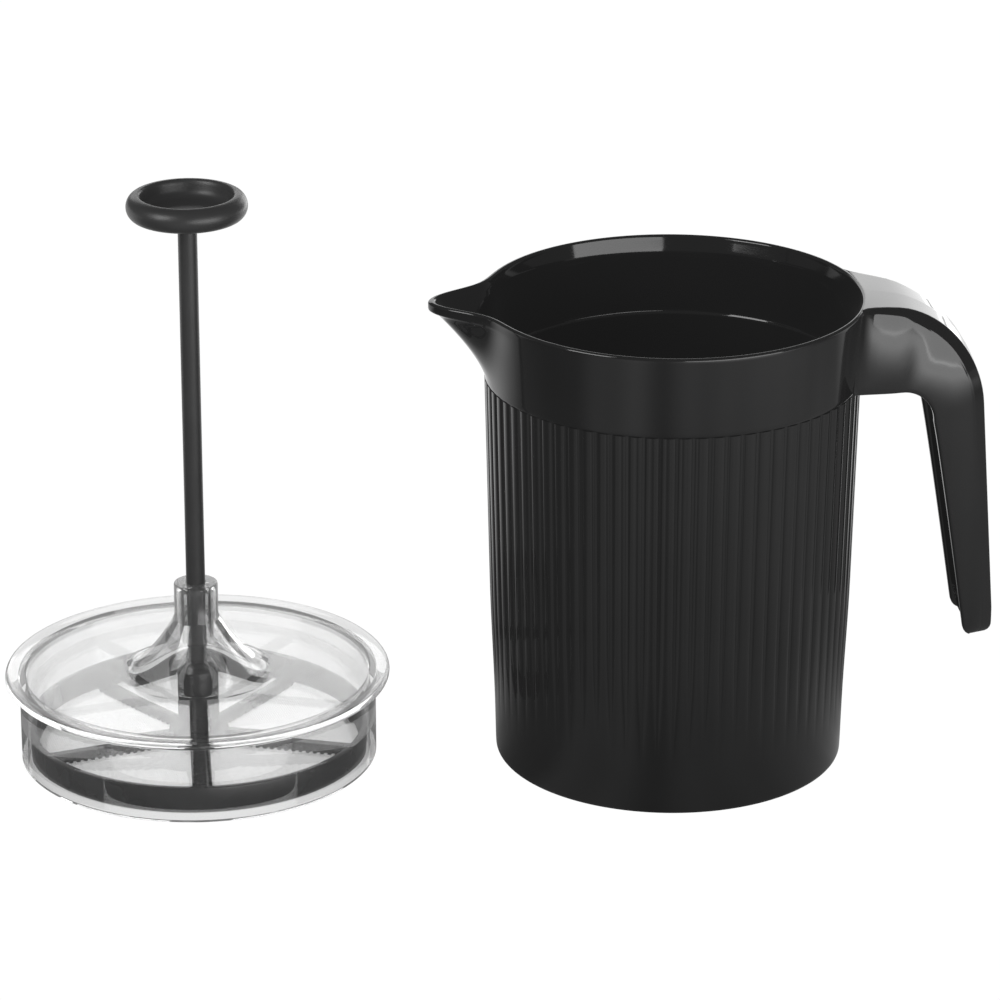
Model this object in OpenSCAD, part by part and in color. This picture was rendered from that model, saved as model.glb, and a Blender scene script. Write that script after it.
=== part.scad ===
// Hand-pump milk frother of the french press kind: a ribbed plastic jug with a beak and a
// channel handle, and a clear lid that slides on the rod of a knob-and-filter plunger.
// The lid and plunger stand on the table beside the jug.
// Origin: centre of the jug's underside. +Z up, +X towards the handle, beak towards -X.

/* [Jug] */
// Height of the jug, table to rim
jug_h = 136.6; // [130:0.1:145]
// Outside radius of the rim
rim_r = 54; // [53.5:0.1:56]
// Outside radius of the beaker just above its base
base_r = 49.4; // [48.5:0.1:50]
// Growth of the beaker's radius for each millimetre of height
draft = 0.0245; // [0.02:0.0005:0.026]
// Wall of the beaker
wall = 1.7; // [1.5:0.1:2]
// Floor of the beaker
base_t = 2.4; // [2:0.1:4]
// Depth of the collar inside, rim to ledge
collar_depth = 23.4; // [22:0.1:25]
// Inside radius of the collar, where the lid's skirt goes
collar_bore_r = 51.3; // [51.1:0.05:51.5]
// Number of ribs round the beaker
rib_count = 72; // [36:1:72]
// How far a rib stands out under the collar
rib_rise = 0.6; // [0.3:0.05:0.6]
// Width of a rib
rib_w = 2.6; // [1.5:0.1:3.2]

/* [Beak] */
// Distance of the beak's tip from the jug's axis
beak_reach = 68.8; // [62:0.1:72]
// Angular spread of the beak, one standard deviation
beak_spread = 7.4; // [6:0.1:9]
// Wall of the beak
beak_wall = 1.8; // [1.5:0.1:2.2]

/* [Handle] */
// Half width of the handle at its root
handle_half_w = 13.5; // [11:0.1:14]
// How much wider the handle's root grows on each side where it runs into the collar
root_flare = 8.5; // [0:0.5:9]
// Half width of the handle at its lower end
handle_tip_half_w = 11.6; // [10:0.1:13.5]
// Radius of the handle's shoulder
shoulder_r = 34; // [30:0.5:36]
// Lean of the handle's spine away from the jug
handle_lean = 4.1; // [2:0.1:6]
// Height of the handle's lower end above the table
handle_tip_z = 34.5; // [20:0.5:60]
// Wall of the handle's channel
handle_wall = 2.2; // [1.8:0.1:3]

/* [Lid] */
// Radius of the lid's flange
flange_r = 54.8; // [54:0.1:56]
// Thickness of the lid's flange
flange_t = 2.4; // [2:0.1:3]
// Outside radius of the lid's skirt
skirt_r = 50.8; // [50.5:0.05:51]
// Depth of the skirt below the flange
skirt_h = 23.2; // [20:0.1:23.2]
// Wall of the skirt
skirt_wall = 1.8; // [1.5:0.1:1.9]
// Thickness of the lid's floor
lid_floor_t = 2; // [1.6:0.1:2.4]
// Radius where the cone rises out of the lid's floor
cone_r = 22.5; // [20:0.5:26]
// Height of the guide tube's top above the table
guide_top_z = 51.8; // [48:0.1:56]
// Outside radius of the guide tube
guide_r = 6.25; // [6:0.05:7]

/* [Plunger] */
// Radius of the rod
rod_r = 2.7; // [2.5:0.05:3]
// Running clearance of the rod in the lid and of the filter on the rod
run_gap = 0.08; // [0.05:0.01:0.1]
// Height of the middle of the knob's rounded rim above the table
knob_z = 163.85; // [155:0.05:170]
// Radius of the knob
knob_r = 16.9; // [15:0.1:20]
// How far the knob's rounded rim stands out beyond its crest
knob_bead_r = 3.1; // [2.5:0.1:3.5]
// Half the height of the knob's rounded rim
knob_bead_h = 3.5; // [3:0.1:4]
// Radius of the filter's hub
hub_r = 5.86; // [5.5:0.02:6.2]
// Height of the hub's top above the table
hub_top_z = 27.4; // [24:0.1:30]

/* [Filter] */
// Outside radius of the filter's ring at its top edge
ring_r = 48.3; // [47.5:0.1:48.4]
// Height of the ring's top edge above the table
ring_top_z = 9.8; // [9:0.1:11]
// Height of the ring's lower edge above the table
ring_low_z = 2.1; // [2:0.1:3]
// Number of spokes
spoke_count = 5; // [3:1:8]
// Width of a spoke
spoke_w = 3.4; // [2.5:0.1:5]
// Thickness of the mesh
mesh_t = 0.3; // [0.2:0.05:0.5]

/* [Stand] */
// Where the lid's axis stands beside the jug, along X
stand_x = -134.6; // [-150:0.1:-128]
// Where the lid's axis stands beside the jug, along Y
stand_y = 6.6; // [-20:0.1:20]

/* [Hidden] */
$fn = 96;
eps = 0.01;

jug_black = "#161617";
satin_black = "#2c2c2d";
clear_plastic = [0.92, 0.94, 0.95, 0.35];
nylon = "#b9babb";

ledge_z = jug_h - collar_depth;
foot_gap = 0.2;
flange_z = foot_gap + skirt_h;
lid_floor_z = flange_z + flange_t - 0.9;
guide_low_z = 33.6;
rod_low_z = 12;
rod_top_z = knob_z - 2.2;
stud_r = 1.9;
socket_low_z = knob_z - 6.2;
socket_r = 4.2;
cap_r = 5.5;
dish_z = knob_z - 1.6;
mesh_z = 3.3;
frame_z = mesh_z + mesh_t;
clamp_z = mesh_z - 1;
hub_low_z = frame_z + 2.4;

// Outside radius of the beaker, between the ribs, at height z
function beaker_r(z) = base_r + draft * z;
// Points of an arc about (cx, cz) from angle a0 to a1, in n steps
function arc(cx, cz, r, a0, a1, n) =
    [for (i = [0:n]) let (a = a0 + (a1 - a0) * i / n) [cx + r * cos(a), cz + r * sin(a)]];
// Point at t on the Bezier curve with corners p, q, r, s
function bezier(p, q, r, s, t) =
    pow(1 - t, 3) * p + 3 * pow(1 - t, 2) * t * q + 3 * (1 - t) * t * t * r + t * t * t * s;
function bezier_run(p, q, r, s, n) = [for (i = [0:n]) bezier(p, q, r, s, i / n)];

module on_stand() { translate([stand_x, stand_y, 0]) children(); }
module spokes(r_in, r_out, w, z, h) {
    for (k = [0:spoke_count - 1])
        rotate([0, 0, -90 + k * 360 / spoke_count])
            translate([r_in, -w / 2, z]) cube([r_out - r_in, w, h]);
}

// ---------------------------------------------------------------- jug
module beaker_wall() {
    inner_top = beaker_r(ledge_z) - wall;
    inner_low = beaker_r(base_t) - wall;
    corner = 4;
    rotate_extrude($fn = 144)
        polygon(concat(
            [[0, 0]],
            arc(beaker_r(0) - 1.5, 1.5, 1.5, -90, 0, 4),
            [[beaker_r(ledge_z), ledge_z], [inner_top, ledge_z]],
            arc(inner_low - corner, base_t + corner, corner, 0, -90, 6),
            [[0, base_t]]));
}
// Ribs that stand out of the wall under the collar and run into it near the base
module ribs() {
    low_z = 16;
    full_z = 48;
    top_z = ledge_z - 0.3;
    root = 0.6;
    intersection() {
        rotate_extrude($fn = 144)
            polygon([[beaker_r(low_z) - root, low_z], [beaker_r(low_z) - 0.1, low_z],
                     [beaker_r(full_z) + rib_rise, full_z], [beaker_r(top_z) + rib_rise, top_z],
                     [beaker_r(top_z) - root, top_z]]);
        linear_extrude(jug_h)
            for (k = [0:rib_count - 1])
                rotate((k + 0.5) * 360 / rib_count)
                    translate([base_r - 2, -rib_w / 2]) square([8, rib_w]);
    }
}
module beaker() {
    color(jug_black) {
        beaker_wall();
        ribs();
    }
}

// Outline radius at angle a from the beak's direction: root_r away from the beak, tip_r at its tip
function beak_outline(root_r, tip_r, a) =
    root_r + (tip_r - root_r) * exp(-a * a / (2 * beak_spread * beak_spread));
// Distance of the beak's keel from the jug's axis at height z
function keel_r(z) = rim_r - 1.6 + (beak_reach - rim_r + 1.6) * (z - ledge_z) / collar_depth;
// Solid from radius back_r out to the beak's outline, from z0 to z1. The outline has radius
// root0 and tip0 at z0, and root1 and tip1 at z1, and flares out more towards the top.
module beak_solid(back_r, z0, root0, tip0, z1, root1, tip1, spread) {
    cols = 20;
    rows = 4;
    bend = 1.4;
    step = 2 * spread / cols;
    outline = function(t) let (z = z0 + t * (z1 - z0), f = pow(t, bend)) concat(
        [for (i = [0:cols]) let (a = -spread + i * step,
                r = beak_outline(root0 + f * (root1 - root0), tip0 + f * (tip1 - tip0), a))
            [-r * cos(a), -r * sin(a), z]],
        [for (i = [cols:-1:0]) let (a = -spread + i * step)
            [-back_r * cos(a), -back_r * sin(a), z]]);
    n = 2 * (cols + 1);
    top = rows * n;
    points = [for (k = [0:rows]) each outline(k / rows)];
    sides = [for (k = [0:rows - 1]) for (i = [0:n - 1])
        let (a = k * n + i, b = k * n + (i + 1) % n) each [[a, b + n, b], [a, a + n, b + n]]];
    caps = [for (i = [0:cols - 1]) let (j = n - 1 - i)
        each [[i, i + 1, j - 1], [i, j - 1, j],
              [top + i, top + j - 1, top + i + 1], [top + i, top + j, top + j - 1]]];
    polyhedron(points, concat(sides, caps), convexity = 4);
}
module collar_band() {
    lip = 0.75;
    rotate_extrude($fn = 144)
        polygon(concat(
            [[collar_bore_r, ledge_z], [beaker_r(ledge_z) - 0.1, ledge_z],
             [rim_r - 1.2, ledge_z + 0.8]],
            arc(rim_r - lip, jug_h - lip, lip, 0, 90, 4),
            [[rim_r - 2 * lip, jug_h - lip], [collar_bore_r, jug_h - 5]]));
}
module collar() {
    low_z = ledge_z + 1.5;
    channel_z = ledge_z + 4;
    top_z = jug_h - 0.4;
    inner_r = collar_bore_r - 0.6;
    color(jug_black)
        difference() {
            union() {
                collar_band();
                beak_solid(collar_bore_r + 0.6, low_z, rim_r - 1.45, keel_r(low_z),
                           top_z, rim_r - 0.3, keel_r(top_z), 40);
            }
            beak_solid(collar_bore_r - 6, channel_z, inner_r, keel_r(channel_z) - beak_wall,
                       jug_h + 1, inner_r, keel_r(jug_h + 1) - beak_wall, 32);
        }
}

// Outline of the handle in its own plane, x from the jug's axis, y up
module handle_outline() {
    hub_x = rim_r - 0.5;
    hub_z = jug_h - shoulder_r;
    spine_x = hub_x + shoulder_r * cos(handle_lean);
    spine_z = hub_z + shoulder_r * sin(handle_lean);
    foot_x = spine_x + (spine_z - handle_tip_z) * tan(handle_lean);
    polygon(concat(
        [[48, jug_h]],
        arc(hub_x, hub_z, shoulder_r, 90, handle_lean, 16),
        arc(foot_x - 3.3, handle_tip_z + 3, 3, 0, -80, 4),
        arc(foot_x - 7.6, handle_tip_z + 3.2, 2.2, -100, -170, 4),
        [[73.4, 96.9]],
        arc(62.5, 101.3, 9.8, 0, 95, 8),
        [[48, 112.8]]));
}
// The open channel inside the handle, which faces the jug
module handle_channel_outline() {
    hub_x = rim_r - 0.5;
    hub_z = jug_h - shoulder_r;
    inner_r = shoulder_r - handle_wall;
    low_x = hub_x + inner_r * cos(handle_lean) + (hub_z - 20) * tan(handle_lean);
    polygon(concat(
        [[40, jug_h - handle_wall]],
        arc(hub_x, hub_z, inner_r, 90, handle_lean, 16),
        [[low_x, 20], [40, 20]]));
}
// Half width of the handle's root at distance x from the jug's axis
function root_half(x) = handle_half_w + root_flare * (exp((50 - x) / 8) - exp(-3));
module handle_width() {
    reach = [46:2:74];
    linear_extrude(jug_h + 1)
        polygon(concat([for (x = reach) [x, root_half(x)]],
                       [for (x = reach) [120 - x, -root_half(120 - x)]]));
    hull() {
        translate([40, -handle_half_w, jug_h]) cube([60, 2 * handle_half_w, 1]);
        translate([40, -handle_tip_half_w, handle_tip_z - 1]) cube([60, 2 * handle_tip_half_w, 1]);
    }
}
module handle() {
    channel_w = 2 * (handle_tip_half_w - handle_wall);
    color(jug_black)
        difference() {
            intersection() {
                rotate([90, 0, 0]) translate([0, 0, -30])
                    linear_extrude(60) handle_outline();
                handle_width();
            }
            rotate([90, 0, 0]) translate([0, 0, -channel_w / 2])
                linear_extrude(channel_w) handle_channel_outline();
            cylinder(r = rim_r - 1.1, h = ledge_z + 0.85, $fn = 144);
            translate([0, 0, ledge_z + 0.8])
                cylinder(r1 = rim_r - 1.2, r2 = rim_r, h = collar_depth - 0.8 - 0.75, $fn = 144);
            translate([0, 0, jug_h - 0.76]) cylinder(r = rim_r, h = 2, $fn = 144);
        }
}

// ---------------------------------------------------------------- lid
module lid() {
    inner_skirt_r = skirt_r - skirt_wall;
    floor_low_z = lid_floor_z - lid_floor_t;
    edge = flange_t / 2 - 0.1;
    bore_r = rod_r + run_gap;
    bore_h = 1.8;
    relief_r = 3.6;
    color(clear_plastic)
        on_stand() rotate_extrude($fn = 144)
            polygon(concat(
                [[inner_skirt_r, foot_gap], [skirt_r, foot_gap], [skirt_r, flange_z]],
                arc(flange_r - edge, flange_z + flange_t - edge, edge, -80, 90, 6),
                [[inner_skirt_r + 0.3, flange_z + flange_t], [inner_skirt_r, lid_floor_z]],
                bezier_run([cone_r, lid_floor_z], [17.5, lid_floor_z + 0.2], [11, 33],
                           [guide_r + 0.75, 40.5], 10),
                [[guide_r, 42.2], [guide_r, guide_top_z - 0.5], [guide_r - 0.5, guide_top_z],
                 [bore_r + 0.3, guide_top_z], [bore_r, guide_top_z - 0.4],
                 [bore_r, guide_top_z - bore_h], [relief_r, guide_top_z - bore_h - 0.7],
                 [relief_r, guide_low_z], [4.7, guide_low_z], [4.8, 40]],
                bezier_run([4.9, 40.1], [8.9, 31.5], [15.5, floor_low_z + 0.1],
                           [cone_r - 1, floor_low_z], 10),
                [[inner_skirt_r, floor_low_z]]));
}

// ---------------------------------------------------------------- plunger
module knob() {
    bead_x = knob_r - knob_bead_r;
    floor_low_z = knob_z - knob_bead_h + 0.4;
    crest_z = knob_z + knob_bead_h;
    color(satin_black)
        on_stand() difference() {
            rotate_extrude()
                polygon(concat(
                    [[0, socket_low_z], [socket_r, socket_low_z], [socket_r, floor_low_z],
                     [bead_x - 2, floor_low_z]],
                    [for (a = [-90:9:90])
                        [bead_x + knob_bead_r * cos(a), knob_z + knob_bead_h * sin(a)]],
                    [[bead_x - 0.5, crest_z - 0.2], [bead_x - 0.9, crest_z - 0.9],
                     [bead_x - 1.7, dish_z + 1.2], [bead_x - 3.3, dish_z], [0, dish_z]]));
            translate([0, 0, socket_low_z - 1]) cylinder(r = rod_r, h = 20, $fn = 64);
            translate([0, 0, rod_top_z]) cylinder(r = cap_r, h = 10);
        }
}
module knob_cap() {
    color(satin_black)
        on_stand() translate([0, 0, rod_top_z]) {
            cylinder(r = cap_r, h = dish_z - rod_top_z);
            translate([0, 0, dish_z - rod_top_z])
                cylinder(r1 = cap_r, r2 = cap_r - 0.4, h = 0.4);
        }
}
module rod() {
    color(satin_black)
        on_stand() {
            translate([0, 0, rod_low_z]) cylinder(r = rod_r, h = rod_top_z - rod_low_z, $fn = 64);
            translate([0, 0, 0.9]) cylinder(r = stud_r, h = rod_low_z - 0.9, $fn = 48);
        }
}
module stud_hole() {
    translate([0, 0, -1]) cylinder(r = stud_r + run_gap, h = 30, $fn = 48);
}
module filter_hub() {
    neck_r = 4.2;
    chamfer_h = 2.4;
    color(satin_black)
        on_stand() difference() {
            union() {
                translate([0, 0, hub_low_z])
                    cylinder(r = hub_r, h = hub_top_z - chamfer_h - hub_low_z);
                translate([0, 0, hub_top_z - chamfer_h])
                    cylinder(r1 = hub_r, r2 = neck_r, h = chamfer_h);
            }
            stud_hole();
            translate([0, 0, rod_low_z - 0.3]) cylinder(r = rod_r + run_gap, h = 30, $fn = 64);
        }
}
module filter_frame() {
    ring_wall = 1.8;
    hub_disc_r = 8.5;
    color(satin_black)
        on_stand() difference() {
            union() {
                rotate_extrude($fn = 144)
                    polygon([[ring_r - ring_wall - 0.4, ring_low_z], [ring_r - 0.6, ring_low_z],
                             [ring_r - 0.2, ring_low_z + 0.5], [ring_r, ring_top_z - 0.4],
                             [ring_r - 0.3, ring_top_z], [ring_r - ring_wall + 0.2, ring_top_z],
                             [ring_r - ring_wall, ring_top_z - 0.3]]);
                spokes(hub_disc_r - 1, ring_r - ring_wall + 0.2, spoke_w, frame_z, 2.4);
                translate([0, 0, frame_z]) cylinder(r = hub_disc_r, h = hub_low_z - frame_z);
            }
            stud_hole();
        }
}
module filter_mesh() {
    color(nylon)
        on_stand() difference() {
            translate([0, 0, mesh_z]) cylinder(r = ring_r - 2.4, h = mesh_t, $fn = 144);
            stud_hole();
        }
}
module mesh_clamp() {
    outer_r = ring_r - 2.4;
    color(satin_black)
        on_stand() difference() {
            union() {
                difference() {
                    translate([0, 0, clamp_z]) cylinder(r = outer_r, h = 1, $fn = 144);
                    translate([0, 0, clamp_z - 1]) cylinder(r = outer_r - 2, h = 3, $fn = 144);
                }
                spokes(7, outer_r - 1.5, spoke_w + 1.6, clamp_z, 1);
                translate([0, 0, clamp_z]) cylinder(r = 8, h = 1);
            }
            stud_hole();
        }
}
module retaining_nut() {
    color(satin_black)
        on_stand() difference() {
            union() {
                translate([0, 0, foot_gap]) cylinder(r1 = 5.2, r2 = 6, h = 0.8);
                translate([0, 0, foot_gap + 0.8]) cylinder(r = 6, h = clamp_z - foot_gap - 0.8);
            }
            translate([0, 0, 0.9]) cylinder(r = stud_r, h = 5, $fn = 48);
            translate([-1, -8, -1]) cube([2, 16, 1.7]);
        }
}

beaker();
collar();
handle();
lid();
knob();
knob_cap();
rod();
filter_hub();
filter_frame();
filter_mesh();
mesh_clamp();
retaining_nut();
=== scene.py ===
"""Looks of a hand-pump milk frother: a ribbed black jug beside its clear lid and plunger.

Profiles are written in millimetres. Radii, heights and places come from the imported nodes' boxes;
what the boxes don't tell, such as walls and fillets, is a named value beside its piece.
"""

import math

import bmesh
import bpy
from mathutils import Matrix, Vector


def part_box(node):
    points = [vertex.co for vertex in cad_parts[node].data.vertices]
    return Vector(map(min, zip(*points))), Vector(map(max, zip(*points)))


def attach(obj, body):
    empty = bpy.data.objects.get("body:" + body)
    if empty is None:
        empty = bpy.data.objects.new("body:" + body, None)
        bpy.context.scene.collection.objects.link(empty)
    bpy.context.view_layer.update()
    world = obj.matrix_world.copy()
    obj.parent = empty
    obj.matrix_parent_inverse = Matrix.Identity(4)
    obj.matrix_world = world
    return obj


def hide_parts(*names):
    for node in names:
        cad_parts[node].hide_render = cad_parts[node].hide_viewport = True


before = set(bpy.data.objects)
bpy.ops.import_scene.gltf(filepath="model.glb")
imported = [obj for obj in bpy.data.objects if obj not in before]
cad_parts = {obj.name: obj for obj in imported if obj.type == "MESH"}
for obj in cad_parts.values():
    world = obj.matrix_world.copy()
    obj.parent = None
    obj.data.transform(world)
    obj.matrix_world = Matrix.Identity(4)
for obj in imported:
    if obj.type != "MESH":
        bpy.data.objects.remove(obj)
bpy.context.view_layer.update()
MM = 0.001


def span(node):
    """Lowest and highest corners of a CAD node, in millimetres."""
    low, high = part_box(node)
    return Vector(low) / MM, Vector(high) / MM


beaker_high = span("beaker")[1]
collar_low, collar_high = span("collar")
handle_low, handle_high = span("handle")
lid_low, lid_high = span("lid")
knob_low, knob_high = span("knob")
cap_low, cap_high = span("knob_cap")
rod_low, rod_high = span("rod")
hub_low, hub_high = span("filter_hub")
ring_low, ring_high = span("filter_frame")
mesh_low, mesh_high = span("filter_mesh")
clamp_low, clamp_high = span("mesh_clamp")
nut_low, nut_high = span("retaining_nut")

# Where the upright axis of the lid and plunger stands.
STAND = ((lid_low.x + lid_high.x) / 2, (lid_low.y + lid_high.y) / 2)


# ------------------------------------------------------------------ curves
def arc(cx, cz, r, start, end, steps):
    """Points of an arc about (cx, cz), angles in degrees."""
    turn = [math.radians(start + (end - start) * i / steps) for i in range(steps + 1)]
    return [(cx + r * math.cos(a), cz + r * math.sin(a)) for a in turn]


def bezier(p, q, r, s, steps):
    """Points of the cubic curve with corners p, q, r, s."""
    run = []
    for i in range(steps + 1):
        t = i / steps
        k = ((1 - t) ** 3, 3 * (1 - t) ** 2 * t, 3 * (1 - t) * t * t, t ** 3)
        run.append(tuple(sum(k[j] * c[axis] for j, c in enumerate((p, q, r, s))) for axis in (0, 1)))
    return run


def smooth(t):
    """0 below 0, 1 above 1, and an eased ramp between."""
    t = min(max(t, 0.0), 1.0)
    return t * t * (3 - 2 * t)


def rounded(corners, steps):
    """A path through corners (x, y, radius), each corner replaced by an arc of that radius."""
    path = [corners[0][:2]]
    for before, here, after in zip(corners, corners[1:], corners[2:]):
        p, a, b = Vector(here[:2]), Vector(before[:2]), Vector(after[:2])
        to_a, to_b = (a - p).normalized(), (b - p).normalized()
        half = to_a.angle(to_b) / 2
        reach = min(here[2] / math.tan(half), (a - p).length * 0.49, (b - p).length * 0.49)
        radius = reach * math.tan(half)
        centre = p + (to_a + to_b).normalized() * radius / math.sin(half)
        first, last = p + to_a * reach - centre, p + to_b * reach - centre
        turn = first.angle_signed(last)
        for i in range(steps + 1):
            angle = -turn * i / steps
            c, s = math.cos(angle), math.sin(angle)
            spoke = Vector((first.x * c - first.y * s, first.x * s + first.y * c))
            path.append(tuple(centre + spoke))
    path.append(corners[-1][:2])
    return path


# ------------------------------------------------------------------ mesh building
def skin(bm, rows, close_rows=True):
    """Faces between neighbouring rows of points in millimetres; a row of one point is a pole."""
    rings = [[bm.verts.new(Vector(p) * MM) for p in row] for row in rows]
    pairs = list(zip(rings, rings[1:])) + ([(rings[-1], rings[0])] if close_rows else [])
    for a, b in pairs:
        count = max(len(a), len(b))
        for i in range(count):
            j = i + 1
            loop = []
            for v in (a[i % len(a)], a[j % len(a)], b[j % len(b)], b[i % len(b)]):
                if v not in loop:
                    loop.append(v)
            if len(loop) > 2:
                bm.faces.new(loop)
    return rings


def revolve(bm, profile, at, count=192):
    """A closed profile of (radius, height) turned about the upright axis at the place given."""
    turn = [2 * math.pi * i / count for i in range(count)]
    rows = []
    for r, z in profile:
        if r == 0:
            rows.append([(at[0], at[1], z)])
        else:
            rows.append([(at[0] + r * math.cos(a), at[1] + r * math.sin(a), z) for a in turn])
    skin(bm, rows)


def bar(bm, centre, along, length, width, low, high, bevel):
    """A straight bar in a horizontal direction, with bevelled long top edges."""
    u = Vector((math.cos(along), math.sin(along), 0))
    v = Vector((-u.y, u.x, 0))
    half = width / 2
    section = [(-half, low), (-half, high - bevel), (-half + bevel, high),
               (half - bevel, high), (half, high - bevel), (half, low)]
    ends = []
    for s in (-length / 2, length / 2):
        foot = Vector((centre[0], centre[1], 0)) + u * s
        ends.append([foot + v * y + Vector((0, 0, z)) for y, z in section])
    rings = skin(bm, ends, close_rows=False)
    for ring in rings:
        bm.faces.new(ring)


def piece(name, bm, material, body, nodes, sharp=38):
    """Finish a mesh as a piece that rides a body and stands for CAD nodes. Edges that turn by more
    than the sharp angle, in degrees, are shaded hard."""
    bmesh.ops.recalc_face_normals(bm, faces=bm.faces)
    mesh = bpy.data.meshes.new(name)
    bm.to_mesh(mesh)
    bm.free()
    mesh.shade_smooth()
    mesh.set_sharp_from_angle(angle=math.radians(sharp))
    mesh.materials.append(material)
    obj = bpy.data.objects.new(name, mesh)
    bpy.context.scene.collection.objects.link(obj)
    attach(obj, body)
    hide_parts(*nodes)
    return obj


# ------------------------------------------------------------------ materials
PLASTIC_IOR = 1.5


def blank_material(name):
    """A new material, its node tree and its Principled shader."""
    material = bpy.data.materials.new(name)
    material.use_nodes = True
    tree = material.node_tree
    return material, tree, tree.nodes["Principled BSDF"]


def noise(tree, scale, detail=2.0):
    """Noise in the object's own space; the scale is in features per metre."""
    place = tree.nodes.new("ShaderNodeTexCoord")
    texture = tree.nodes.new("ShaderNodeTexNoise")
    texture.inputs["Scale"].default_value = scale
    texture.inputs["Detail"].default_value = detail
    tree.links.new(place.outputs["Object"], texture.inputs["Vector"])
    return texture.outputs["Fac"]


def remap(tree, value, low, high):
    """Spread the middle of a noise over low to high."""
    node = tree.nodes.new("ShaderNodeMapRange")
    node.inputs["From Min"].default_value = 0.3
    node.inputs["From Max"].default_value = 0.7
    node.inputs["To Min"].default_value = low
    node.inputs["To Max"].default_value = high
    tree.links.new(value, node.inputs["Value"])
    return node.outputs["Result"]


def two_tone(tree, value, first, second):
    """A colour between two, by a noise."""
    ramp = tree.nodes.new("ShaderNodeValToRGB")
    stops = zip(ramp.color_ramp.elements, (0.35, 0.65), (first, second))
    for element, position, colour in stops:
        element.position = position
        element.color = (*colour, 1)
    tree.links.new(value, ramp.inputs["Fac"])
    return ramp.outputs["Color"]


def glow(shader, strength):
    """An even white light that the surface gives off."""
    shader.inputs["Emission Color"].default_value = (1, 1, 1, 1)
    shader.inputs["Emission Strength"].default_value = strength


def bump(tree, shader, value, depth):
    """Relief of the depth given, in metres."""
    node = tree.nodes.new("ShaderNodeBump")
    node.inputs["Distance"].default_value = depth
    node.inputs["Strength"].default_value = 1.0
    tree.links.new(value, node.inputs["Height"])
    tree.links.new(node.outputs["Normal"], shader.inputs["Normal"])


def moulded(name, first, second, rough, grain, relief, painted_glow):
    """Moulded plastic: a slow change of tone and gloss, and a fine relief. The glow given last is
    painted light: a faint even emission that stands for stray light and keeps even the darkest
    reflection a little above black."""
    material, tree, shader = blank_material(name)
    shader.inputs["IOR"].default_value = PLASTIC_IOR
    # Painted light: a faint even glow that stands in for the studio's stray light.
    glow(shader, painted_glow)
    tree.links.new(two_tone(tree, noise(tree, 35), first, second), shader.inputs["Base Color"])
    tree.links.new(remap(tree, noise(tree, 60, 3), *rough), shader.inputs["Roughness"])
    bump(tree, shader, noise(tree, grain), relief)
    return material


def clear_polystyrene():
    """Clear glossy plastic with the faintest haze of a moulding."""
    material, tree, shader = blank_material("clear_polystyrene")
    shader.inputs["Transmission Weight"].default_value = 1.0
    shader.inputs["IOR"].default_value = PLASTIC_IOR
    shader.inputs["Alpha"].default_value = 0.8
    haze = remap(tree, noise(tree, 90), 0.0, 0.02)
    tree.links.new(haze, shader.inputs["Roughness"])
    tone = two_tone(tree, noise(tree, 40), (0.985, 0.99, 0.99), (1.0, 1.0, 1.0))
    tree.links.new(tone, shader.inputs["Base Color"])
    return material


def nylon_threads():
    """Pale nylon thread, a little rough along its length. The emission stands for the floor's
    light that the thin thread lets through."""
    material, tree, shader = blank_material("nylon_threads")
    glow(shader, 0.3)
    tone = two_tone(tree, noise(tree, 900), (0.62, 0.62, 0.62), (0.8, 0.8, 0.8))
    tree.links.new(tone, shader.inputs["Base Color"])
    tree.links.new(remap(tree, noise(tree, 2500), 0.35, 0.6), shader.inputs["Roughness"])
    return material


# The last number of each is its painted glow, an emission that stands in for stray light.
gloss_black = moulded("gloss_black", (0.007, 0.007, 0.0071), (0.009, 0.009, 0.0092),
                      rough=(0.05, 0.1), grain=140, relief=0.00001, painted_glow=0.0085)
satin_black = moulded("satin_black", (0.024, 0.024, 0.0242), (0.032, 0.032, 0.0323),
                      rough=(0.3, 0.42), grain=1400, relief=0.00002, painted_glow=0.013)
filter_black = moulded("filter_black", (0.012, 0.012, 0.0121), (0.018, 0.018, 0.0182),
                       rough=(0.2, 0.3), grain=900, relief=0.00001, painted_glow=0.018)
clear = clear_polystyrene()
nylon = nylon_threads()


# ------------------------------------------------------------------ jug: beaker
RIBS = 72
RIB_RISE = 0.6
WALL = 1.7
FLOOR = 2.4
LEDGE_Z = collar_low.z
BASE_R = 49.4
DRAFT = (beaker_high.x - RIB_RISE - BASE_R) / LEDGE_Z


def beaker_r(z):
    """Radius of the beaker between its ribs."""
    return BASE_R + DRAFT * z


def rib_height(z):
    """How far the ribs stand out at height z: none at the base, all of it from mid height up."""
    fade_low, fade_run = 12.0, 40.0
    return RIB_RISE * smooth((z - fade_low) / fade_run)


def rib_shape(phase):
    """0 in the groove between two ribs, 1 on a rib; phase runs from 0 to 1 over one pitch."""
    groove = 0.08
    side = min(abs(2 * phase - 1) / (1 - 2 * groove), 1)
    return (1 - side ** 2.6) ** 0.75


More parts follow.
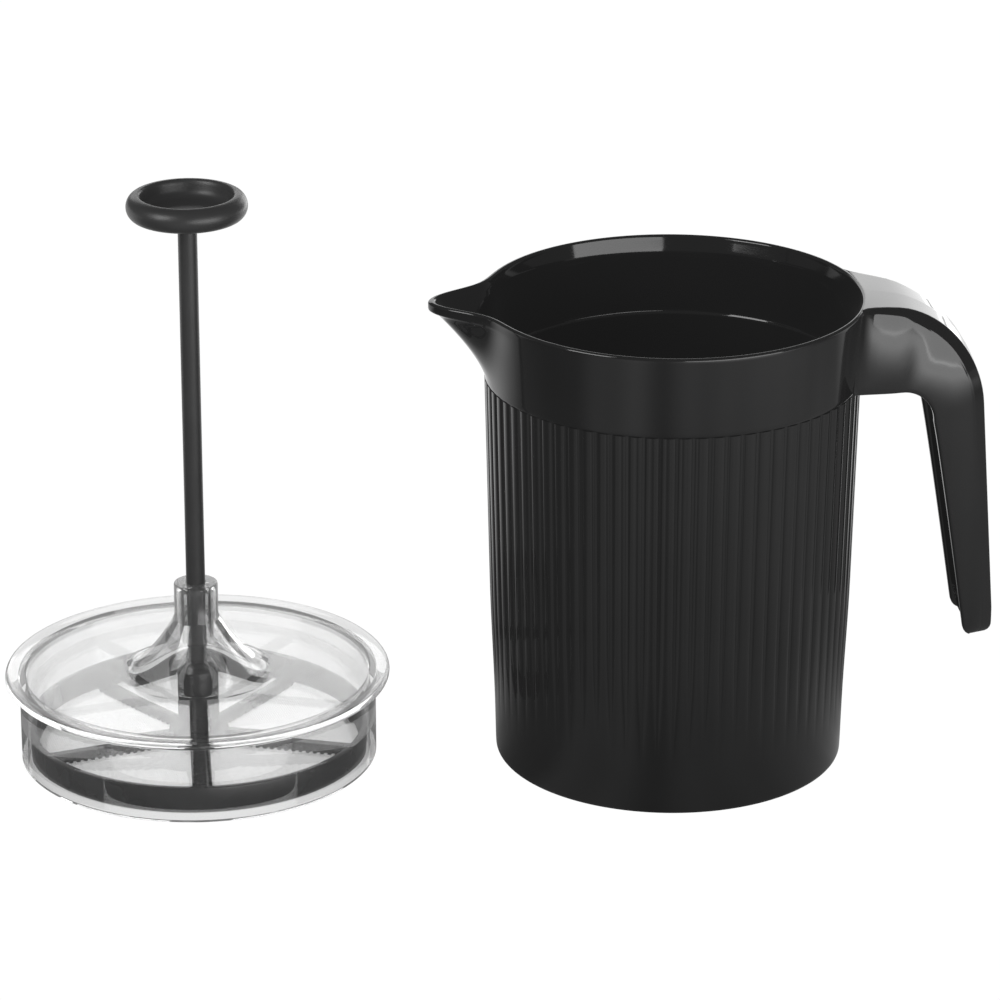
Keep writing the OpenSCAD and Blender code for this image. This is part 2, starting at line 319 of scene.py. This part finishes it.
def make_beaker():
    """The body: one row of points round the jug for each point of its profile, from the underside
    up the ribbed outside and down the smooth inside to the floor."""
    phases = (0, 0.075, 0.08, 0.085, 0.1, 0.13, 0.17, 0.22, 0.29, 0.36, 0.43, 0.5,
              0.57, 0.64, 0.71, 0.78, 0.83, 0.87, 0.9, 0.915, 0.92, 0.925)
    columns = []
    for rib in range(RIBS):
        columns += [(2 * math.pi * (rib + p) / RIBS, rib_shape(p)) for p in phases]
    corner = 1.5
    inner_corner = 4.0
    heights = [3.0, 6.0, 9.0] + [12.0 + 4 * i for i in range(11)] + [62, 75, 88, 100, LEDGE_Z]
    inner_low = beaker_r(FLOOR) - WALL
    outer = [(0.0, 0.0), (20.0, 0.0), (40.0, 0.0)]
    outer += arc(beaker_r(0) - corner, corner, corner, -90, 0, 6)
    outer += [(beaker_r(z), z) for z in heights]
    inner = [(beaker_r(z) - WALL, z) for z in (LEDGE_Z, 90, 60, 30)]
    inner += arc(inner_low - inner_corner, FLOOR + inner_corner, inner_corner, 0, -90, 8)
    inner += [(30.0, FLOOR), (0.0, FLOOR)]
    rows = []
    for k, (r, z) in enumerate(outer + inner):
        if r == 0:
            rows.append([(0, 0, z)])
            continue
        rise = rib_height(z) if k < len(outer) else 0.0
        rows.append([((r + rise * s) * math.cos(a), (r + rise * s) * math.sin(a), z)
                     for a, s in columns])
    bm = bmesh.new()
    skin(bm, rows)
    return piece("ribbed_beaker", bm, gloss_black, "jug", ["beaker"], sharp=50)


# ------------------------------------------------------------------ jug: collar and beak
RIM_R = collar_high.x - 0.01
RIM_Z = collar_high.z
BORE_R = 51.3
LIP = 0.75
TAPER = 1.2
FOOT_FILLET = 0.8
FOOT_IN = 0.73
BEAK_R = -collar_low.x
BEAK_SPREAD = 7.4
BEAK_HALF = 30
BEAK_WALL = 2.2


def beak_share(angle, spread):
    """How much of the beak's reach there is at an angle in degrees from its middle."""
    return math.exp(-angle * angle / (2 * spread * spread))


def keel_r(z):
    """Distance of the beak's underside from the axis in its middle plane."""
    foot_r, flare, bend = 52.4, 17.3, 1.4
    rise = max(z - LEDGE_Z, 0) / (RIM_Z - LEDGE_Z)
    return min(foot_r + flare * rise ** bend, BEAK_R)


def lip_roll(z):
    """0 to 1: how far the rolled edge of the beak stands out at height z."""
    roll_low, roll_run = 3.7, 1.5
    return smooth((z - (RIM_Z - roll_low)) / roll_run)


def collar_out(z):
    """Radius of the collar's outside away from the beak: rounded in at its lower edge, then
    widening evenly up to the lip."""
    edge_r, edge_z = RIM_R - TAPER, LEDGE_Z + FOOT_FILLET
    if z >= edge_z:
        return edge_r + TAPER * (z - edge_z) / (RIM_Z - LIP - edge_z)
    below = min((edge_z - z) / FOOT_FILLET, 1)
    return edge_r - FOOT_IN * (1 - math.sqrt(1 - below ** 2))


def collar_section(angle):
    """Closed profile of the collar at an angle in degrees from the beak's middle: up the outside,
    over the lip, down the bore and along the ledge."""
    share = beak_share(angle, BEAK_SPREAD)
    inner_share = beak_share(angle, BEAK_SPREAD - 0.5)
    undercut = 0.8 * max(smooth(1 - abs(angle) / BEAK_HALF) - share, 0)
    under_low, under_run = 11, 7
    lip_z = RIM_Z - LIP
    outer_z = [LEDGE_Z + h for h in (0, 0.15, 0.4, 0.8, 1.6, 3, 5, 7, 9, 11, 13, 15, 17, 18.5)]
    outer_z += [RIM_Z - h for h in (3.7, 3.3, 2.9, 2.5, 2.1, 1.5)]
    outer = []
    for z in outer_z:
        root = collar_out(z)
        reach = keel_r(z) + (BEAK_R - keel_r(z)) * lip_roll(z)
        under = undercut * smooth((z - RIM_Z + under_low) / under_run) * (1 - lip_roll(z))
        outer.append((root + max(reach - root, 0) * share - under, z))
    rim = RIM_R + (BEAK_R - RIM_R) * share
    half = LIP + 0.35 * share
    lip = [(rim - half + half * x, lip_z + LIP * y) for x, y in arc(0, 0, 1, 0, 180, 10)]
    lead_depth, channel_low, channel_run = 5, 3, 3
    lead_z = RIM_Z - lead_depth
    inner_z = [lip_z - h for h in (0.7, 1.6, 2.8)]
    inner_z += [RIM_Z - h for h in (lead_depth, 7, 9, 11, 13, 15, 17, 19)]
    inner_z += [LEDGE_Z + h for h in (2, 0.3)]
    inner = []
    for z in inner_z:
        lead = max(z - lead_z, 0) / (lip_z - lead_z)
        root = BORE_R + (RIM_R - 2 * LIP - BORE_R) * lead
        channel = smooth((z - LEDGE_Z - channel_low) / channel_run)
        reach = max(keel_r(z) - BEAK_WALL - root, 0)
        inner.append((root + reach * inner_share * channel, z))
    ledge = [(BORE_R - 0.25, LEDGE_Z + 0.05), (beaker_r(LEDGE_Z) - WALL, LEDGE_Z)]
    return outer + lip + inner + ledge


def make_collar():
    """The collar: its sections side by side, closer together round the beak."""
    fine, coarse = 0.5, 1.5
    beside = round(BEAK_HALF / fine)
    angles = [i * fine for i in range(-beside, beside + 1)]
    angles += [BEAK_HALF + i * coarse for i in range(1, round((360 - 2 * BEAK_HALF) / coarse))]
    rows = []
    for a in angles:
        section = collar_section(a if a <= 180 else a - 360)
        c, s = math.cos(math.radians(180 + a)), math.sin(math.radians(180 + a))
        rows.append([(r * c, r * s, z) for r, z in section])
    bm = bmesh.new()
    skin(bm, rows)
    return piece("collar_with_beak", bm, gloss_black, "jug", ["collar"], sharp=50)


# ------------------------------------------------------------------ jug: handle
SHOULDER_R = 34.0
SHOULDER_X = RIM_R - 0.5
SHOULDER_Z = handle_high.z - SHOULDER_R
LEAN = math.radians(4.1)
BEND_X, BEND_Z, BEND_R = 62.5, 101.3, 9.8
HANDLE_WALL = 2.2
TOP_HALF = 13.5
FOOT_HALF = 11.6
FOOT_ROUND = 3.0
ROOT_R = 52.0
ROOT_FLARE = 8.5
ROOT_RUN = 8.0
ROOT_BLEND = 12
ROOT_SINK = 0.6


def handle_stations():
    """Pairs of points (outer spine, inner flange edge) in the handle's plane, root to foot."""
    spine_x = SHOULDER_X + SHOULDER_R * math.cos(LEAN)
    spine_z = SHOULDER_Z + SHOULDER_R * math.sin(LEAN)
    bend_top = (BEND_X, BEND_Z + BEND_R)
    flange_run = bezier((ROOT_R + 0.2, 112.9), (57.0, 112.2), (60.0, bend_top[1]), bend_top, 12)
    flange_run += arc(BEND_X, BEND_Z, BEND_R, 90, 0, 14)[1:]
    spine_run = [(ROOT_R + 0.4 * i, handle_high.z) for i in range(4)]
    bends = len(flange_run) - len(spine_run)
    spine_run += arc(SHOULDER_X, SHOULDER_Z, SHOULDER_R, 90, math.degrees(LEAN), bends)[1:]
    low_z = handle_low.z + FOOT_ROUND + 0.4
    flange_out = 10.3
    straight = 16
    for i in range(1, straight + 1):
        t = i / straight
        z = spine_z + (low_z - spine_z) * t
        x = spine_x + (spine_z - z) * math.tan(LEAN)
        spine_run.append((min(x, handle_high.x - 0.25), z))
        flange_z = BEND_Z + (low_z + 1.0 - BEND_Z) * t
        flange_run.append((BEND_X + BEND_R + flange_out * (t ** 0.93), flange_z))
    return list(zip(spine_run, flange_run))


def handle_section(half_width, depth, chamfer, inset, edge_inset):
    """Half of the open channel's outline, (across, depth below the spine), from the middle of the
    spine over the chamfer, down the side, round the flange's edge and back inside. The side is
    crowned: it draws in towards the spine. The insets shorten the outline for the rounded foot."""
    steps, long_cuts = 5, 20
    w, c, wall = half_width, chamfer, HANDLE_WALL
    top, edge = inset, depth - edge_inset
    ridge = top + 3.2 * c + 0.3
    path = rounded([(0, top, 0), (w - 2.1 * c - 0.4, top + 0.25 * c, 1.2), (w, ridge, 1.6),
                    (w, edge, 0.8), (w - wall, edge, 0.8), (w - wall - 0.2, top + wall, 1.4),
                    (0, top + wall, 0)], steps)
    fine = []
    for i, (a, b) in enumerate(zip(path, path[1:])):
        cuts = long_cuts if i % (steps + 1) == 0 else 1
        fine += [tuple(Vector(a).lerp(Vector(b), k / cuts)) for k in range(cuts)]
    fine.append(path[-1])
    draw_in, run = 2.7 - 0.95 * (1 - c), min(21.0, 0.85 * depth)
    bulge = 1.75 - 1.05 * c
    corners_outside = 3
    outside = corners_outside * (steps + long_cuts)
    shaped = []
    for i, (across, d) in enumerate(fine):
        if i < outside:
            lean = draw_in * min(max(1 - (d - ridge) / run, 0), 1) ** 2
            across += (bulge - lean) * across / w
        shaped.append((across, d))
    return shaped


def close_root(bm, ring):
    """Triangles across the channel's wall at the root, from the middle of the spine to the
    flanges, the shorter diagonal first. The ring runs round one half and back round the other."""
    half_count = len(ring) // 2
    for side in (1, -1):
        low, high = 0, half_count
        while high - low > 1:
            ahead = (ring[side * (low + 1)].co - ring[side * high].co).length
            back = (ring[side * low].co - ring[side * (high - 1)].co).length
            corners = (low, low + 1, high) if ahead < back else (low, high - 1, high)
            bm.faces.new([ring[side * k] for k in corners])
            low, high = (low + 1, high) if ahead < back else (low, high - 1)


def make_handle():
    """The handle: its sections from the root, which follows the collar's wall, to the foot."""
    stations = handle_stations()
    plan = [(station, 0.0, 0.0) for station in stations]
    for turn in (18, 36, 54, 72, 90):
        a = math.radians(turn)
        plan.append((stations[-1], math.sin(a), 1 - math.cos(a)))
    rings = []
    for (spine, flange), advance, inset in plan:
        down = Vector((math.sin(LEAN), -math.cos(LEAN))) * FOOT_ROUND * advance
        spine, flange = Vector(spine) + down, Vector(flange) + down
        depth = (flange - spine).length
        toward = (flange - spine) / depth
        drop = (handle_high.z - spine.y) / (handle_high.z - handle_low.z)
        half = TOP_HALF + (FOOT_HALF - TOP_HALF) * drop
        chamfer = smooth((spine.x - 54.0) / 22.0) * 0.85 + 0.15
        ring = []
        for across, d in handle_section(half, depth, chamfer, 2.6 * inset, 2.0 * inset):
            base = spine + toward * d
            reach = max(base.x - ROOT_R, 0)
            flare = ROOT_FLARE * max(math.exp(-reach / ROOT_RUN) - math.exp(-3), 0)
            y = across + flare * across / half
            in_wall = collar_out(min(base.y, RIM_Z - LIP)) - ROOT_SINK
            on_wall = math.sqrt(in_wall ** 2 - min(y, in_wall) ** 2)
            x = base.x + (on_wall - base.x) * (1 - smooth(reach / ROOT_BLEND))
            ring.append((x, y, base.y))
        mirrored = [(x, -y, z) for x, y, z in reversed(ring[1:-1])]
        rings.append(ring + mirrored)
    bm = bmesh.new()
    made = skin(bm, rings, close_rows=False)
    bmesh.ops.triangulate(bm, faces=[bm.faces.new(made[-1])])
    close_root(bm, made[0])
    return piece("channel_handle", bm, gloss_black, "jug", ["handle"], sharp=50)


# ------------------------------------------------------------------ lid
LID_R = (lid_high.x - lid_low.x) / 2
SKIRT_R = 50.8
GUIDE_R = 6.25
ROD_R = (rod_high.x - rod_low.x) / 2
ROD_PLAY = 0.08
STUD_TOP = 12.0


def make_lid():
    """The lid: skirt, flange, floor, hollow cone and guide tube in one turned profile."""
    flange_z = 23.4
    flange_t = 2.4
    floor_z = flange_z + flange_t - 0.9
    floor_low = floor_z - 2.0
    inner_r = SKIRT_R - 1.8
    edge = flange_t / 2 - 0.1
    bore = ROD_R + ROD_PLAY
    relief = 3.6
    guide_top = lid_high.z
    guide_low = 33.6
    profile = [(inner_r + 0.2, lid_low.z), (SKIRT_R - 0.2, lid_low.z), (SKIRT_R, lid_low.z + 0.2)]
    profile += [(SKIRT_R, flange_z - 0.3), (SKIRT_R + 0.3, flange_z)]
    profile += arc(LID_R - edge, flange_z + flange_t - edge, edge, -80, 90, 10)
    profile += [(inner_r + 0.3, flange_z + flange_t), (inner_r, floor_z)]
    profile += bezier((22.5, floor_z), (17.5, floor_z + 0.2), (11, 33), (GUIDE_R + 0.75, 40.5), 18)
    profile += [(GUIDE_R, 42.2), (GUIDE_R, guide_top - 0.5)]
    profile += arc(GUIDE_R - 0.5, guide_top - 0.5, 0.5, 0, 90, 4)[1:]
    profile += [(bore + 0.3, guide_top), (bore, guide_top - 0.4), (bore, guide_top - 1.8)]
    profile += [(relief, guide_top - 2.5), (relief, guide_low + 0.2), (relief + 0.2, guide_low)]
    profile += [(4.5, guide_low), (4.7, guide_low + 0.2), (4.8, 40.0)]
    profile += bezier((4.9, 40.1), (8.9, 31.5), (15.5, floor_low + 0.1), (21.5, floor_low), 18)
    profile += [(inner_r - 0.4, floor_low), (inner_r, floor_low - 0.4), (inner_r, lid_low.z + 0.2)]
    bm = bmesh.new()
    revolve(bm, profile, STAND, 256)
    lid = piece("clear_lid", bm, clear, "lid", ["lid"], sharp=35)
    lid.visible_shadow = False
    lid.visible_glossy = False
    return lid


# ------------------------------------------------------------------ plunger
def make_knob():
    """The knob: a socket on the rod, a rounded rim and a dish."""
    radius = (knob_high.x - knob_low.x) / 2
    bead, rim_half = 3.1, 3.5
    middle = knob_high.z - rim_half
    crest_r = radius - bead
    dish = middle - 1.6
    socket = 4.2
    profile = [(ROD_R, knob_low.z), (socket - 0.4, knob_low.z), (socket, knob_low.z + 0.4)]
    profile += arc(socket + 0.8, middle - rim_half - 0.4, 0.8, 180, 90, 4)
    profile += [(crest_r + bead * x, middle + rim_half * z) for x, z in arc(0, 0, 1, -88, 90, 30)]
    profile += bezier((crest_r - 0.1, knob_high.z - 0.01), (crest_r - 0.7, knob_high.z - 0.1),
                      (crest_r - 0.9, knob_high.z - 0.6), (crest_r - 1.1, knob_high.z - 1.5), 8)
    profile += bezier((crest_r - 1.3, dish + 2.4), (crest_r - 1.7, dish + 0.7),
                      (crest_r - 2.6, dish + 0.05), (8.4, dish), 10)
    profile += [(ROD_R, dish - 0.02)]
    bm = bmesh.new()
    revolve(bm, profile, STAND)
    return piece("palm_knob", bm, satin_black, "plunger", ["knob"])


def make_knob_cap():
    """The round cap in the knob's dish, hollowed a little on top."""
    radius = (cap_high.x - cap_low.x) / 2
    edge = 0.5
    profile = [(0, cap_low.z), (radius, cap_low.z), (radius, cap_high.z - edge)]
    profile += arc(radius - edge, cap_high.z - edge, edge, 0, 90, 6)[1:]
    profile += [(radius - 2.0, cap_high.z - 0.05), (0, cap_high.z - 0.12)]
    bm = bmesh.new()
    revolve(bm, profile, STAND, 96)
    return piece("knob_disc", bm, satin_black, "plunger", ["knob_cap"])


def make_rod():
    """The rod, with the threaded stud that carries the filter."""
    stud, shoulder = 1.9, STUD_TOP
    turns, pitch = 11, 0.9
    profile = [(0, rod_low.z), (stud - 0.4, rod_low.z), (stud, rod_low.z + 0.4)]
    for i in range(turns):
        z = rod_low.z + 0.8 + pitch * i
        profile += [(stud - 0.3, z + pitch * 0.25), (stud, z + pitch * 0.5), (stud, z + pitch * 0.75)]
    profile += [(stud, shoulder), (ROD_R - 0.3, shoulder), (ROD_R, shoulder + 0.3)]
    profile += [(ROD_R, z) for z in (40, 80, 120)]
    profile += [(ROD_R, rod_high.z - 0.3), (ROD_R - 0.3, rod_high.z), (0, rod_high.z)]
    bm = bmesh.new()
    revolve(bm, profile, STAND, 64)
    return piece("plunger_rod", bm, satin_black, "plunger", ["rod"])


# ------------------------------------------------------------------ filter
SPOKES = 5
STUD_HOLE = 1.98


def spoke_angles():
    """Directions of the spokes in radians, the first one towards the front."""
    return [math.radians(-90 + 360 * k / SPOKES) for k in range(SPOKES)]


def make_hub():
    """The sleeve round the rod's end, with its sloping shoulder."""
    radius = (hub_high.x - hub_low.x) / 2
    neck, slope = 4.2, 2.4
    shoulder = hub_high.z - slope
    socket = ROD_R + ROD_PLAY
    socket_low = STUD_TOP - 0.3
    profile = [(STUD_HOLE, hub_low.z), (radius - 0.3, hub_low.z), (radius, hub_low.z + 0.3)]
    profile += [(radius, shoulder - 0.25), (radius - 0.18, shoulder + 0.18)]
    profile += [(neck + 0.15, hub_high.z - 0.2), (neck - 0.1, hub_high.z), (socket, hub_high.z)]
    profile += [(socket, socket_low), (STUD_HOLE, socket_low)]
    bm = bmesh.new()
    revolve(bm, profile, STAND, 96)
    return piece("filter_hub_sleeve", bm, filter_black, "filter", ["filter_hub"])


def make_filter_frame():
    """The ring, the disc under the hub and the toothed spokes between them."""
    radius = (ring_high.x - ring_low.x) / 2
    wall, low, high = 1.8, ring_low.z, ring_high.z
    frame_z = mesh_high.z
    spoke_high = hub_low.z
    disc_r = 8.5
    profile = [(radius - wall - 0.4, low), (radius - 0.7, low), (radius - 0.35, low + 0.3)]
    profile += [(radius, high - 0.5), (radius - 0.15, high - 0.15), (radius - 0.5, high)]
    profile += [(radius - wall + 0.3, high), (radius - wall, high - 0.3)]
    bm = bmesh.new()
    revolve(bm, profile, STAND, 256)
    disc = [(STUD_HOLE, frame_z), (disc_r, frame_z), (disc_r, spoke_high - 0.4),
            (disc_r - 0.4, spoke_high), (STUD_HOLE, spoke_high)]
    revolve(bm, disc, STAND, 96)
    inner, outer = disc_r - 1, radius - wall + 0.2
    reach = (inner + outer) / 2
    spoke_w, tooth, pitch = 3.4, 1.0, 2.1
    teeth = int((outer - inner - 3) / pitch)
    for a in spoke_angles():
        u, v = Vector((math.cos(a), math.sin(a))), Vector((-math.sin(a), math.cos(a)))
        centre = Vector(STAND) + u * reach
        bar(bm, centre, a, outer - inner, spoke_w, frame_z, spoke_high, 0.5)
        for i in range(teeth):
            along = inner + 2.2 + pitch * i
            for side in (-1, 1):
                spot = Vector(STAND) + u * along + v * side * (spoke_w / 2 + tooth / 2)
                bar(bm, spot, a, tooth, tooth + 0.2, frame_z, frame_z + 1.2, 0.1)
    return piece("filter_ring", bm, filter_black, "filter", ["filter_frame"])


def make_mesh():
    """Crossing threads, cut to the disc."""
    radius = (mesh_high.x - mesh_low.x) / 2
    pitch, thread = 0.62, 0.14
    middle = (mesh_low.z + mesh_high.z) / 2
    count = int(2 * (radius - 1) / pitch)
    bm = bmesh.new()
    for quarter, height in ((0, middle - thread / 2), (90, middle + thread / 2)):
        direction = math.radians(quarter + 12)
        u = Vector((math.cos(direction), math.sin(direction)))
        v = Vector((-u.y, u.x))
        for i in range(count + 1):
            off = (i - count / 2) * pitch
            half = math.sqrt(max(radius ** 2 - off ** 2, 0))
            if half < 1 or abs(off) < STUD_HOLE:
                continue
            middle_point = Vector(STAND) + v * off
            bar(bm, middle_point, direction, 2 * half, thread, height - thread / 2,
                height + thread / 2, thread * 0.3)
    threads = piece("mesh_threads", bm, nylon, "filter", ["filter_mesh"])
    threads.visible_glossy = False
    return threads


def make_clamp():
    """The thin ring, disc and spokes that hold the mesh from below."""
    outer = (clamp_high.x - clamp_low.x) / 2
    low, high = clamp_low.z, clamp_high.z
    bm = bmesh.new()
    ring = [(outer - 2, low + 0.1), (outer - 1.9, low), (outer - 0.2, low), (outer, low + 0.2),
            (outer, high), (outer - 2, high)]
    revolve(bm, ring, STAND, 192)
    disc = [(STUD_HOLE, low), (7.8, low), (8.0, low + 0.2), (8.0, high), (STUD_HOLE, high)]
    revolve(bm, disc, STAND, 96)
    inner, rim = 7.0, outer - 1.5
    for a in spoke_angles():
        centre = Vector(STAND) + Vector((math.cos(a), math.sin(a))) * (inner + rim) / 2
        bar(bm, centre, a, rim - inner, 3.4, low, high, 0.1)
    return piece("mesh_clamp_ring", bm, filter_black, "filter", ["mesh_clamp"])


def make_nut():
    """Low round nut with a coin slot in its underside."""
    radius = (nut_high.x - nut_low.x) / 2
    low, high = nut_low.z, nut_high.z
    slot_half, slot_high, bore_low = 1.0, low + 0.5, 0.9
    count = 96
    bm = bmesh.new()
    profile = [(0, slot_high), (radius - 1.1, slot_high), (radius - 1.1, low), (radius - 0.8, low),
               (radius - 0.15, low + 0.65), (radius, low + 0.95), (radius, high - 0.15),
               (radius - 0.15, high), (1.9, high), (1.9, bore_low), (0, bore_low)]
    revolve(bm, profile, STAND, count)
    for side in (-1, 1):
        bar(bm, (STAND[0], STAND[1] + side * (slot_half + 1.7)), 0, 2 * radius - 4.6, 2.6,
            low, slot_high + 0.05, 0.02)
    return piece("stud_nut", bm, filter_black, "filter", ["retaining_nut"])


# ------------------------------------------------------------------ studio
def glow_pattern(tree, centre, radius, high):
    """A round patch on the floor, in metres: high in its middle and nothing outside its radius."""
    place = tree.nodes.new("ShaderNodeTexCoord")
    mapping = tree.nodes.new("ShaderNodeMapping")
    mapping.vector_type = "TEXTURE"
    mapping.inputs["Location"].default_value = (*centre, 0)
    mapping.inputs["Scale"].default_value = (radius[0], radius[1], 1)
    ball = tree.nodes.new("ShaderNodeTexGradient")
    ball.gradient_type = "SPHERICAL"
    ramp = tree.nodes.new("ShaderNodeMapRange")
    ramp.interpolation_type = "SMOOTHSTEP"
    ramp.inputs["From Max"].default_value = 0.6
    ramp.inputs["To Max"].default_value = high
    tree.links.new(place.outputs["Object"], mapping.inputs["Vector"])
    tree.links.new(mapping.outputs["Vector"], ball.inputs["Vector"])
    tree.links.new(ball.outputs["Fac"], ramp.inputs["Value"])
    return ramp.outputs["Result"]


def level(tree, value, start, end, low, high):
    """A ramp of a coordinate in metres: low at start, high at end."""
    node = tree.nodes.new("ShaderNodeMapRange")
    for name, number in (("From Min", start), ("From Max", end), ("To Min", low), ("To Max", high)):
        node.inputs[name].default_value = number
    tree.links.new(value, node.inputs["Value"])
    return node.outputs["Result"]


def streaks(tree, place, low, high):
    """Rays of brighter and darker floor that run out from the jug's axis."""
    aim = tree.nodes.new("ShaderNodeVectorMath")
    aim.operation = "NORMALIZE"
    tree.links.new(place, aim.inputs[0])
    texture = tree.nodes.new("ShaderNodeTexNoise")
    texture.inputs["Scale"].default_value = 1.5
    texture.inputs["Detail"].default_value = 1.0
    tree.links.new(aim.outputs["Vector"], texture.inputs["Vector"])
    return remap(tree, texture.outputs["Fac"], low, high)


def combine(tree, operation, first, second):
    """Two values put together by a math operation."""
    node = tree.nodes.new("ShaderNodeMath")
    node.operation = operation
    tree.links.new(first, node.inputs[0])
    tree.links.new(second, node.inputs[1])
    return node.outputs[0]


def by_ray(tree, seen, through, other):
    """One strength for what the camera sees, one for what shows through the clear lid, and one,
    a number or a socket, for everything else."""
    path = tree.nodes.new("ShaderNodeLightPath")
    value = other
    for ray, strength in (("Is Transmission Ray", through), ("Is Camera Ray", seen)):
        mix = tree.nodes.new("ShaderNodeMix")
        mix.inputs["B"].default_value = strength
        if isinstance(value, float):
            mix.inputs["A"].default_value = value
        else:
            tree.links.new(value, mix.inputs["A"])
        tree.links.new(path.outputs[ray], mix.inputs["Factor"])
        value = mix.outputs["Result"]
    return value


def pale_floor():
    """White to the camera and a little less through the lid. In reflections it is dim near the
    object and brighter farther out in front, and has a bright patch behind on the right."""
    bpy.ops.mesh.primitive_plane_add(size=8)
    floor = bpy.context.object
    floor.name = "studio_floor"
    material, tree, shader = blank_material("studio_floor")
    tree.nodes.remove(shader)
    place = tree.nodes.new("ShaderNodeTexCoord")
    split = tree.nodes.new("ShaderNodeSeparateXYZ")
    tree.links.new(place.outputs["Object"], split.inputs["Vector"])
    across, away = split.outputs["X"], split.outputs["Y"]
    rays = streaks(tree, place.outputs["Object"], low=0.25, high=2.0)
    rise = level(tree, away, start=-0.06, end=-0.42, low=0.15, high=0.55)
    left = level(tree, across, start=-0.5, end=-0.15, low=0.3, high=1.0)
    right = level(tree, across, start=0.6, end=0.3, low=0.3, high=1.0)
    near = combine(tree, "MULTIPLY", combine(tree, "MULTIPLY", rise, rays),
                   combine(tree, "MULTIPLY", left, right))
    far = glow_pattern(tree, centre=(0.7, -1.1), radius=(0.95, 1.0), high=3.6)
    behind = level(tree, away, start=0.07, end=0.2, low=0.0, high=0.8)
    patch = glow_pattern(tree, centre=(0.5, 0.85), radius=(0.4, 0.65), high=2.4)
    other = combine(tree, "ADD", combine(tree, "ADD", near, far),
                    combine(tree, "ADD", behind, patch))
    emission = tree.nodes.new("ShaderNodeEmission")
    strength = by_ray(tree, seen=1.02, through=0.8, other=other)
    tree.links.new(strength, emission.inputs["Strength"])
    tree.links.new(emission.outputs[0], tree.nodes["Material Output"].inputs["Surface"])
    floor.data.materials.append(material)


def studio_world():
    """White to the camera, almost dark in reflections."""
    world = bpy.data.worlds.new("studio")
    bpy.context.scene.world = world
    world.use_nodes = True
    tree = world.node_tree
    back = tree.nodes["Background"]
    strength = by_ray(tree, seen=1.0, through=0.8, other=0.12)
    tree.links.new(strength, back.inputs["Strength"])
    back.inputs["Color"].default_value = (1, 1, 1, 1)


def softbox(name, place, size, radiance):
    """A rectangular light of an even radiance, turned to the middle of the object."""
    target = (-0.05, 0, 0.07)
    light = bpy.data.lights.new(name, "AREA")
    light.shape = "RECTANGLE"
    light.size, light.size_y = size
    light.energy = radiance * math.pi * size[0] * size[1]
    lamp = bpy.data.objects.new(name, light)
    bpy.context.scene.collection.objects.link(lamp)
    lamp.location = place
    lamp.rotation_euler = (Vector(target) - Vector(place)).to_track_quat("-Z", "Y").to_euler()


def camera():
    """The viewpoint: a long lens, looking down on the two assemblies side by side."""
    lens = bpy.data.cameras.new("camera")
    lens.sensor_width = 36
    lens.lens = 180.4
    tilt, turn = math.radians(68.69), math.radians(-4.6)
    view = bpy.data.objects.new("camera", lens)
    bpy.context.scene.collection.objects.link(view)
    view.location = (-0.15409, -1.31289, 0.59041)
    view.rotation_euler = (tilt, 0, turn)
    bpy.context.scene.camera = view


camera()
make_beaker()
make_collar()
make_handle()
make_lid()
make_knob()
make_knob_cap()
make_rod()
make_hub()
make_filter_frame()
make_mesh()
make_clamp()
make_nut()

pale_floor()
studio_world()
softbox("left_box", place=(-0.85, -0.55, 0.6), size=(0.5, 0.5), radiance=6)
softbox("back_box", place=(-0.2, 1.5, 0.6), size=(1.1, 0.6), radiance=1.4)
softbox("back_right_box", place=(0.72, 1.45, 0.38), size=(0.75, 0.75), radiance=2.1)
softbox("front_low_box", place=(0.75, -1.35, 0.26), size=(1.7, 0.6), radiance=3.6)
bpy.context.scene.view_settings.view_transform = "Standard"
